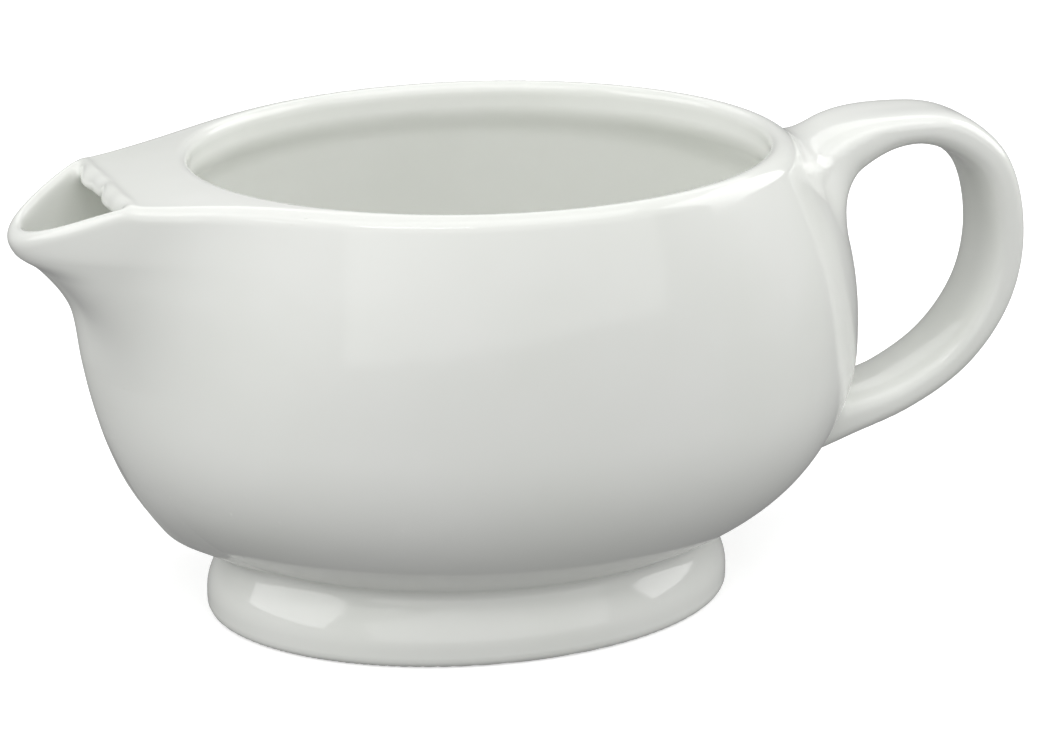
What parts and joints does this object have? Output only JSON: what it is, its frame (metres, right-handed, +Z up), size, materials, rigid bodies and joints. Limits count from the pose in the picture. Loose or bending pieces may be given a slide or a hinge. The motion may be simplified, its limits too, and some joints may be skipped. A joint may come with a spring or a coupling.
{
  "type": "gravy boat",
  "caption": "Oval footed gravy boat of white glazed hotel ware with a covered pouring spout and a round loop handle.",
  "frame": {"origin": "on the table under the middle of the whole boat's length and width, at the height of the foot's underside", "axes": "+X from the spout towards the handle, +Y across the boat, +Z up out of the bowl"},
  "size_m": [0.1829, 0.102, 0.0807],
  "materials": {
    "white_glaze": "smooth clear gloss glaze over white vitrified body"
  },
  "bodies": {
    "root": {"bowl": "white_glaze", "spout": "white_glaze", "spout_bridge": "white_glaze", "handle": "white_glaze", "foot_ring": "white_glaze"}
  },
  "joints": []
}
